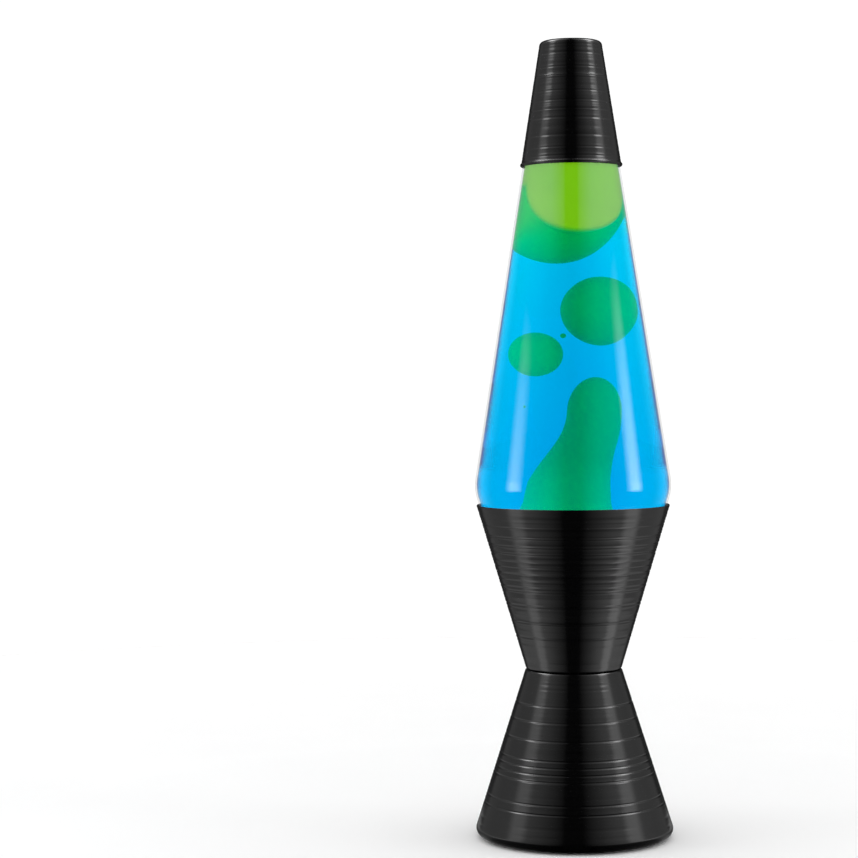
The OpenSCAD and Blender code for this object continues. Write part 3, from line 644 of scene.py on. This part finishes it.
# Joins pieces into one skin by remeshing, then eases it.
def meltTogether(name, pieces, voxel, ease):
    joined = joinPieces(name, pieces)
    remesh = joined.modifiers.new("skin", "REMESH")
    remesh.mode = "VOXEL"
    remesh.voxel_size = voxel * mm
    smooth = joined.modifiers.new("ease", "SMOOTH")
    smooth.iterations = ease
    smooth.factor = 0.5
    applyModifiers(joined)
    joined.data.name = name
    return joined


dropPiece = joinPieces("waxDroplets", [waxBall("drop", at, (r, r, r), 0.0, 0, 12, 16) for at, r in droplets])
place(dropPiece, "globe", ["wax_droplets"], "wax", limeWax)

# Dome: a broad lobe that keeps off the glass, and two nearer ones pressed against its front.
domeLobes = [{"centre": (-5.0, 2.0, 293.2), "size": (22.4, 22.0, 28.8), "keepOff": 1.9},
             {"centre": (3.0, -17.0, 303.5), "size": (25.0, 25.0, 25.0), "keepOff": 0.0},
             {"centre": (-13.0, -6.0, 314.0), "size": (15.2, 15.2, 15.2), "keepOff": 0.0}]
lobes = []
for i, lobe in enumerate(domeLobes):
    ball = waxBall("domeLobe", lobe["centre"], lobe["size"], 0.02, i + 1.5)
    pressToGlass(ball.data, 250, fillLevel - 1.6, lobe["keepOff"], 1.0)
    lobes.append(ball)
dome = meltTogether("waxDome", lobes, 0.6, 5)
pressToGlass(dome.data, 250, fillLevel - 1.6)
finishMesh(dome.data, 180)
place(dome, "globe", ["wax_dome"], "wax", limeWax)

# Mound: level slices from the pool on the floor up to the head: (height, centre x, radius).
moundSlices = [(floorOfWax, 0.0, 40.0), (139.5, 0.0, 40.0), (142.5, -0.6, 34.0), (146.0, -1.4, 23.5),
               (150.0, -2.2, 18.2), (156.0, -2.5, 15.6), (163.0, -1.6, 14.2), (170.0, 0.3, 12.9), (177.0, 2.9, 11.4),
               (184.0, 5.7, 10.3), (190.0, 7.2, 9.7), (196.0, 7.7, 9.4)]
moundHead = 212.0


def smoothSlice(z):
    for (z0, x0, r0), (z1, x1, r1) in zip(moundSlices, moundSlices[1:]):
        if z <= z1:
            t = (z - z0) / (z1 - z0)
            return x0 + (x1 - x0) * t, r0 + (r1 - r0) * t
    return moundSlices[-1][1:]


def moundPiece(steps=120):
    heights = [floorOfWax + (moundSlices[-1][0] - floorOfWax) * i / 110 for i in range(111)]
    rings = []
    for z in heights:
        near = [smoothSlice(min(max(z + d, floorOfWax), moundSlices[-1][0])) for d in (-3, -1.5, 0, 1.5, 3)]
        rings.append((z, sum(n[0] for n in near) / 5, sum(n[1] for n in near) / 5))
    lastZ, lastX, lastR = rings[-1]
    rise = moundHead - lastZ
    for i in range(1, 24):
        a = math.radians(90 * i / 24)
        rings.append((lastZ + rise * math.sin(a), lastX + 0.3 * math.sin(a), lastR * math.cos(a)))
    points = [(rings[0][1], 0, rings[0][0])]
    for z, x, r in rings:
        for k in range(steps):
            turn = math.tau * k / steps
            swell = 1 + 0.06 * noise.noise(Vector((math.cos(turn), math.sin(turn), z * 0.02)) * 0.9)
            points.append((x + r * swell * math.cos(turn), r * swell * math.sin(turn), z))
    points.append((rings[-1][1], 0, moundHead))
    faces = [(0, 1 + (k + 1) % steps, 1 + k) for k in range(steps)]
    for i in range(len(rings) - 1):
        for k in range(steps):
            n = (k + 1) % steps
            a, b = 1 + i * steps, 1 + (i + 1) * steps
            faces.append((a + k, a + n, b + n, b + k))
    last = 1 + (len(rings) - 1) * steps
    faces += [(last + k, last + (k + 1) % steps, len(points) - 1) for k in range(steps)]
    return addPiece("waxMound", points, faces, 50)


mound = moundPiece()
pressToGlass(mound.data, floorOfWax, 230)
finishMesh(mound.data, 60)
place(mound, "globe", ["wax_mound"], "wax", limeWax)

# Heating coil: a long close spring laid in a ring on the globe's floor.
coil = {"ring": 25.0, "coil": 2.62, "wire": 0.36, "turns": 96, "perTurn": 14}
coilLow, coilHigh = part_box("heating_coil")
coilZ = (coilLow.z + coilHigh.z) / 2 / mm
coilPath = []
for i in range(coil["turns"] * coil["perTurn"] - 3):
    a = math.tau * i / (coil["turns"] * coil["perTurn"])
    b = math.tau * i / coil["perTurn"]
    r = coil["ring"] + coil["coil"] * math.cos(b)
    coilPath.append((r * math.cos(a), r * math.sin(a), coilZ + coil["coil"] * math.sin(b)))
coilPiece = wirePiece("heatingCoil", coilPath, coil["wire"], 7)
place(coilPiece, "globe", ["heating_coil"], "coil_steel", coilWire)

# Crown closure: thin tinned steel whose skirt is crimped into flutes under the bead.
crown = {"flutes": 21, "skirt": 6.0, "top": 13.7, "bottom": 14.1, "wave": 0.45, "thick": 0.3}
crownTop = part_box("crown_closure")[1].z / mm


def crownPiece(steps=252):
    # (share of the way out, drop, share of the wave), from the middle of the top to the skirt's edge
    levels = [(0.0, 0.0, 0.0), (0.45, 0.0, 0.0), (0.85, 0.0, 0.02), (0.96, 0.12, 0.1), (1.0, 0.6, 0.3),
              (1.01, 1.3, 0.6), (1.02, 3.0, 0.85), (1.03, 4.6, 1.0), (1.035, crown["skirt"], 1.0)]
    points, faces = [(0, 0, crownTop)], []

    def ring(share, drop, wave, inset):
        flat = crown["top"] + (crown["bottom"] - crown["top"]) * drop / crown["skirt"]
        for k in range(steps):
            a = math.tau * k / steps
            r = (flat - inset) * min(share, 1.0) + crown["wave"] * wave * math.cos(a * crown["flutes"])
            points.append((r * math.cos(a), r * math.sin(a), crownTop - max(drop, inset if share < 0.97 else 0)))

    for share, drop, wave in levels[1:]:
        ring(share, drop, wave, 0.0)
    for share, drop, wave in levels[:0:-1]:
        ring(share, max(drop, crown["thick"]), wave, crown["thick"])
    points.append((0, 0, crownTop - crown["thick"]))
    count = 2 * (len(levels) - 1)
    faces += [(0, 1 + k, 1 + (k + 1) % steps) for k in range(steps)]
    for i in range(count - 1):
        for k in range(steps):
            n = (k + 1) % steps
            a, b = 1 + i * steps, 1 + (i + 1) * steps
            faces.append((a + k, a + n, b + n, b + k))
    last = 1 + (count - 1) * steps
    faces += [(last + k, last + (k + 1) % steps, len(points) - 1) for k in range(steps)]
    return addPiece("crownClosure", points, faces, 50)


crownClosure = crownPiece()
place(crownClosure, "globe", ["crown_closure"], "crown_steel", crownTin)
print("globe filled and closed")


# ---- bulb ----

bulb = {"radius": 17.5, "neck": 8.2, "wall": 0.6, "crownRise": 20.0}
bulbLow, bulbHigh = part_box("bulb_glass")
bulbNeckZ, bulbTopZ = bulbLow.z / mm, bulbHigh.z / mm
bulbWideZ = bulbTopZ - bulb["crownRise"]


def bulbSide(inset):
    r, neck = bulb["radius"] - inset, bulb["neck"] - inset
    rise = bulbWideZ - bulbNeckZ - 2
    points = [(neck, bulbNeckZ)]
    for i in range(25):
        t = i / 24
        points.append((neck + (r - neck) * (1 - math.cos(math.pi * t)) / 2, bulbNeckZ + 2 + rise * t))
    for i in range(1, 25):
        a = math.radians(90 * i / 24)
        points.append((r * math.cos(a), bulbWideZ + (bulb["crownRise"] - inset) * math.sin(a)))
    return points


bulbGlass = turnPiece("bulbGlass", bulbSide(0) + bulbSide(bulb["wall"])[::-1], 96)
place(bulbGlass, "bulb", ["bulb_glass"], "bulb_glass", bulbClear)

filament = {"span": 7.0, "turns": 44, "perTurn": 10, "coil": 0.32, "wire": 0.07, "sag": 2.2, "belowTop": 0.45}
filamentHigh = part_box("bulb_filament")[1].z / mm
filamentPath = []
for i in range(filament["turns"] * filament["perTurn"]):
    t = i / (filament["turns"] * filament["perTurn"] - 1)
    x = filament["span"] * (2 * t - 1)
    sag = filament["sag"] * (x / filament["span"]) ** 2
    b = math.tau * filament["turns"] * t
    filamentPath.append((x, filament["coil"] * math.cos(b),
                         filamentHigh - filament["belowTop"] - sag + filament["coil"] * math.sin(b)))
filamentPiece = wirePiece("filamentCoil", filamentPath, filament["wire"], 5)
place(filamentPiece, "bulb", ["bulb_filament"], "tungsten", tungstenWire)
print("bulb made")


# ---- finishes of the pieces that stay as modelled ----

finishes = {
    "waist_screws": zincSteel, "waist_nuts": zincSteel, "waist_rivets": zincSteel, "cover_screws": zincSteel,
    "socket_bracket": plainSteel, "bracket_nipple": turnedBrass, "nipple_locknut": turnedBrass,
    "socket_cap": darkPhenolic, "socket_body": darkPhenolic, "socket_screw_shell": turnedBrass,
    "socket_centre_contact": turnedBrass, "socket_terminal_screws": turnedBrass, "cord_bushing": blackPlastic,
    "bottom_cover": blackPlastic, "foot_pads": padRubber, "bulb_tip_contact": solderLead,
    "bulb_insulator": blackGlass, "bulb_screw_shell": nickelShell, "bulb_stem": bulbClear,
    "bulb_lead_wires": nickelShell, "crown_liner": linerFoam,
}
paintedNodes = ("lower_cone", "upper_cone", "cap_shell")
for nodeName, node in cadNodes.items():
    node.data.materials.clear()
    node.data.materials.append(finishes.get(nodeName, recordBlack if nodeName in paintedNodes else limeWax))
print("finishes given")


# ---- table, light and camera ----

# Direction is the angle round the lamp from the camera's side; sizes in metres, power in watts.
softBox = {"distance": 0.95, "height": 0.30, "size": (0.30, 0.8), "power": 1.5}


def roundLamp(direction, height):
    a = math.radians(direction)
    return Vector((softBox["distance"] * math.sin(a), -softBox["distance"] * math.cos(a), height))


for side, direction in (("left", -72), ("right", 74)):
    light = bpy.data.lights.new(side + "SoftBox", "AREA")
    light.shape = "RECTANGLE"
    light.size, light.size_y = softBox["size"]
    light.energy = softBox["power"]
    box = bpy.data.objects.new(side + "SoftBox", light)
    scene.collection.objects.link(box)
    box.location = roundLamp(direction, softBox["height"])
    box.rotation_euler = (Vector((0, 0, softBox["height"])) - box.location).to_track_quat("-Z", "Y").to_euler()
    box.visible_glossy = False

table = bpy.data.meshes.new("paleTable")
table.from_pydata([(-1.6, -1.6, 0), (1.6, -1.6, 0), (1.6, 1.6, 0), (-1.6, 1.6, 0)], [], [(0, 1, 2, 3)])
tableTop = bpy.data.objects.new("paleTable", table)
scene.collection.objects.link(tableTop)


# What shiny things see of the room: (angle round the lamp from the camera's side, brightness).
roomFill = [(-180, 0.04), (-147, 0.06), (-138, 0.26), (-116, 0.42), (-97, 0.62), (-80, 0.8), (-67, 0.8), (-53, 0.60),
            (-35, 0.32), (-16, 0.075), (-13, 0.015), (11, 0.015), (14, 0.05), (35, 0.34), (53, 0.70), (67, 0.9),
            (82, 0.9), (97, 0.72), (116, 0.46), (138, 0.26), (147, 0.06), (180, 0.04)]
roomBoxes = [(-180, 0.0), (-89, 0.0), (-80, 0.9), (-69, 0.9), (-60, 0.0), (0, 0.0), (63, 0.0), (71, 1.3), (83, 1.3),
             (92, 0.0), (180, 0.0)]
roomHigh = [(-180, 0.0), (-132, 0.0), (-114, 3.4), (-98, 4.6), (-90, 0.6), (-80, 0.1), (-66, 0.0), (0, 0.0), (66, 0.0),
            (80, 0.1), (90, 0.6), (98, 4.4), (114, 3.4), (132, 0.0), (180, 0.0)]
roomForGlass = [(-180, 0.7), (-165, 0.5), (-150, 0.3), (-130, 0.1), (-110, 0.0), (110, 0.0), (130, 0.1), (150, 0.3),
                (165, 0.5), (180, 0.7)]
roomThroughLiquid = [(-180, 0.80), (-170, 0.88), (-165, 0.94), (-158, 0.98), (-141, 1.0), (-126, 1.55), (-110, 1.5),
                     (-90, 1.0), (90, 1.0), (110, 1.5), (126, 1.55), (141, 1.0), (158, 0.98), (165, 0.94),
                     (170, 0.88), (180, 0.80)]
# The same from level with the lamp, 0, to overhead, 1.
fillByHeight = [(0.0, 1.1), (0.3, 1.1), (0.46, 1.6), (0.56, 2.0), (0.7, 1.4), (1.0, 1.7)]
boxesByHeight = [(0.0, 0.8), (0.2, 0.85), (0.37, 1.0), (0.44, 5.0), (0.54, 5.4), (0.62, 1.2), (1.0, 0.3)]
highByHeight = [(0.0, 0.0), (0.60, 0.0), (0.68, 2.2), (0.75, 4.0), (0.86, 3.6), (0.93, 1.2), (1.0, 0.3)]
# And on the table, by the metres out from the lamp: a painted reflection of the lit table top, darkened close to the
# lamp's foot as painted shade.
fillByDistance = [(0.0, 0.05), (0.055, 0.15), (0.1, 0.85), (0.14, 1.4), (0.26, 1.2), (0.3, 0.95), (0.33, 0.8),
                  (0.5, 0.9), (1.0, 0.9)]
boxesByDistance = [(0.0, 0.05), (0.055, 0.12), (0.12, 0.7), (0.2, 0.76), (1.0, 0.74)]
brightest = 6.0    # ramps hold shares of this
whiteLevel = 1.05    # plain white around and behind the lamp


def rampOf(tree, value, stops):
    return colourRamp(tree, value, [(at, [level / brightest] * 3) for at, level in stops])


def sweepRamps(tree, source, *sweeps):
    turned = tree.nodes.new("ShaderNodeMapping")
    turned.inputs["Rotation"].default_value = (0, 0, math.radians(90))
    tree.links.new(source, turned.inputs["Vector"])
    sweep = tree.nodes.new("ShaderNodeTexGradient")
    sweep.gradient_type = "RADIAL"
    tree.links.new(turned.outputs["Vector"], sweep.inputs["Vector"])
    return [rampOf(tree, sweep.outputs["Fac"], [(0.5 + angle / 360, level) for angle, level in levels])
            for levels in sweeps]


# Chooses by the kind of ray: plain view, mirrored in paint, or mirrored in glass.
def mixByRays(tree, plain, source, onTable, kindOfLight, target):
    around = sweepRamps(tree, source, roomFill, roomBoxes, roomHigh, roomForGlass)
    if onTable:
        length = tree.nodes.new("ShaderNodeVectorMath")
        length.operation = "LENGTH"
        tree.links.new(source, length.inputs[0])
        shades = [rampOf(tree, length.outputs["Value"], fillByDistance),
                  rampOf(tree, length.outputs["Value"], boxesByDistance), 0.0]
    else:
        height = splitOf(tree, source)[2]
        shades = [rampOf(tree, height, levels) for levels in (fillByHeight, boxesByHeight, highByHeight)]
    fill, boxes, high = (mathOf(tree, "MULTIPLY", a, b) for a, b in zip(around, shades))
    paintLevel = mathOf(tree, "MULTIPLY", mathOf(tree, "ADD", mathOf(tree, "ADD", fill, boxes), high),
                        brightest * brightest)
    glassLevel = mathOf(tree, "MULTIPLY", around[3], brightest)
    kind = tree.nodes.new("ShaderNodeLightPath")
    level = tree.nodes.new("ShaderNodeMix")
    tree.links.new(kind.outputs["Is Singular Ray"], level.inputs["Factor"])
    tree.links.new(paintLevel, level.inputs["A"])
    tree.links.new(glassLevel, level.inputs["B"])
    shine = tree.nodes.new(kindOfLight)
    tree.links.new(level.outputs["Result"], shine.inputs["Strength"])
    choose = tree.nodes.new("ShaderNodeMixShader")
    tree.links.new(mathOf(tree, "SUBTRACT", kind.outputs["Is Glossy Ray"], kind.outputs["Is Transmission Ray"]),
                   choose.inputs["Fac"])
    tree.links.new(plain, choose.inputs[1])
    tree.links.new(shine.outputs[0], choose.inputs[2])
    tree.links.new(choose.outputs["Shader"], target.inputs["Surface"])


tableMat, tableTree, tableShader = startMaterial("paleTableTop", **{"Roughness": 0.6, "Specular IOR Level": 0.2})
tableWhere = objectPlace(tableTree)
tableTree.links.new(tint(tableTree, noiseOf(tableTree, tableWhere, 9), (0.95, 0.95, 0.95), (0.965, 0.965, 0.965)),
                    tableShader.inputs["Base Color"])
fade = tableTree.nodes.new("ShaderNodeTexGradient")    # the table melts into the white around it
fade.gradient_type = "SPHERICAL"
tableTree.links.new(objectPlace(tableTree, (0.9, 0.9, 0.9)), fade.inputs["Vector"])
tableTree.links.new(spanOf(tableTree, fade.outputs["Fac"], 0.1, 0.75), tableShader.inputs["Alpha"])
# Shiny things see on the table a painted reflection, an emission set by the ramps above, in place of its lit top.
mixByRays(tableTree, tableShader.outputs["BSDF"], tableWhere, True, "ShaderNodeEmission",
          tableTree.nodes["Material Output"])
table.materials.append(tableMat)

# White all round the view and behind what is clear; shiny things see a dimmer room.
world = bpy.data.worlds.new("whiteStudio")
scene.world = world
world.use_nodes = True
world.cycles.sampling_method = "NONE"
worldTree = world.node_tree
worldTree.nodes.clear()
room = worldTree.nodes.new("ShaderNodeBackground")
room.inputs["Color"].default_value = (1, 1, 1, 1)
roomWay = worldTree.nodes.new("ShaderNodeTexCoord").outputs["Generated"]
through = worldTree.nodes.new("ShaderNodeMix")    # what is seen through the liquid is dimmer straight behind it
through.inputs["A"].default_value = whiteLevel
behind, = sweepRamps(worldTree, roomWay, roomThroughLiquid)
worldTree.links.new(mathOf(worldTree, "MULTIPLY", behind, brightest * whiteLevel), through.inputs["B"])
worldTree.links.new(worldTree.nodes.new("ShaderNodeLightPath").outputs["Is Transmission Ray"],
                    through.inputs["Factor"])
worldTree.links.new(through.outputs["Result"], room.inputs["Strength"])
mixByRays(worldTree, room.outputs["Background"], roomWay, False, "ShaderNodeBackground",
          worldTree.nodes.new("ShaderNodeOutputWorld"))


# Tall lit panels that the globe mirrors as two soft streaks; nothing else sees them.
litPanels = [{"name": "leftPanel", "direction": -72.5, "width": 0.42, "low": -0.03, "high": 0.50, "fullBelow": 0.27,
              "strength": 6.6},
             {"name": "rightPanel", "direction": 77.0, "width": 0.42, "low": -0.03, "high": 0.54, "fullBelow": 0.30,
              "strength": 8.0}]
for spec in litPanels:
    half, low, high = spec["width"] / 2, spec["low"], spec["high"]
    panel = bpy.data.meshes.new(spec["name"])
    panel.from_pydata([(-half, 0, low), (half, 0, low), (half, 0, high), (-half, 0, high)], [], [(0, 1, 2, 3)])
    piece = bpy.data.objects.new(spec["name"], panel)
    scene.collection.objects.link(piece)
    piece.location = roundLamp(spec["direction"], 0)
    piece.rotation_euler = (0, 0, math.radians(spec["direction"]))
    mat, tree, (through, glow) = mixedMaterial(
        spec["name"] + "Light", lambda tree: tree.nodes.new("ShaderNodeLightPath").outputs["Is Singular Ray"],
        "BsdfTransparent", "Emission")
    panelX, _, panelZ = splitOf(tree, objectPlace(tree))
    level = spec["strength"]    # fades out to both sides, upwards and at the foot
    for source, full, gone in ((mathOf(tree, "ABSOLUTE", panelX), half * 0.3, half), (panelZ, spec["fullBelow"], high),
                               (panelZ, low + 0.12, low)):
        level = mathOf(tree, "MULTIPLY", spanOf(tree, source, gone, full), level)
    tree.links.new(level, glow.inputs["Strength"])
    panel.materials.append(mat)
    piece.visible_camera = piece.visible_diffuse = piece.visible_transmission = piece.visible_shadow = False

# Camera a little above the middle of the lamp, turned so that the lamp stands to the right.
cameraSet = {"at": (0.0, -1.0746, 0.2170), "tiltDown": 1.445, "roll": -0.382, "turnLeft": 3.548, "lens": 97.17}
cameraData = bpy.data.cameras.new("frontCamera")
cameraData.lens = cameraSet["lens"]
cameraData.sensor_width = 36
frontCamera = bpy.data.objects.new("frontCamera", cameraData)
scene.collection.objects.link(frontCamera)
frontCamera.matrix_world = (Matrix.Translation(cameraSet["at"])
                            @ Matrix.Rotation(math.radians(cameraSet["turnLeft"]), 4, "Z")
                            @ Matrix.Rotation(math.radians(90 - cameraSet["tiltDown"]), 4, "X")
                            @ Matrix.Rotation(math.radians(cameraSet["roll"]), 4, "Z"))
scene.camera = frontCamera
scene.view_settings.view_transform = "Standard"
scene.view_settings.look = "None"
print("studio set")
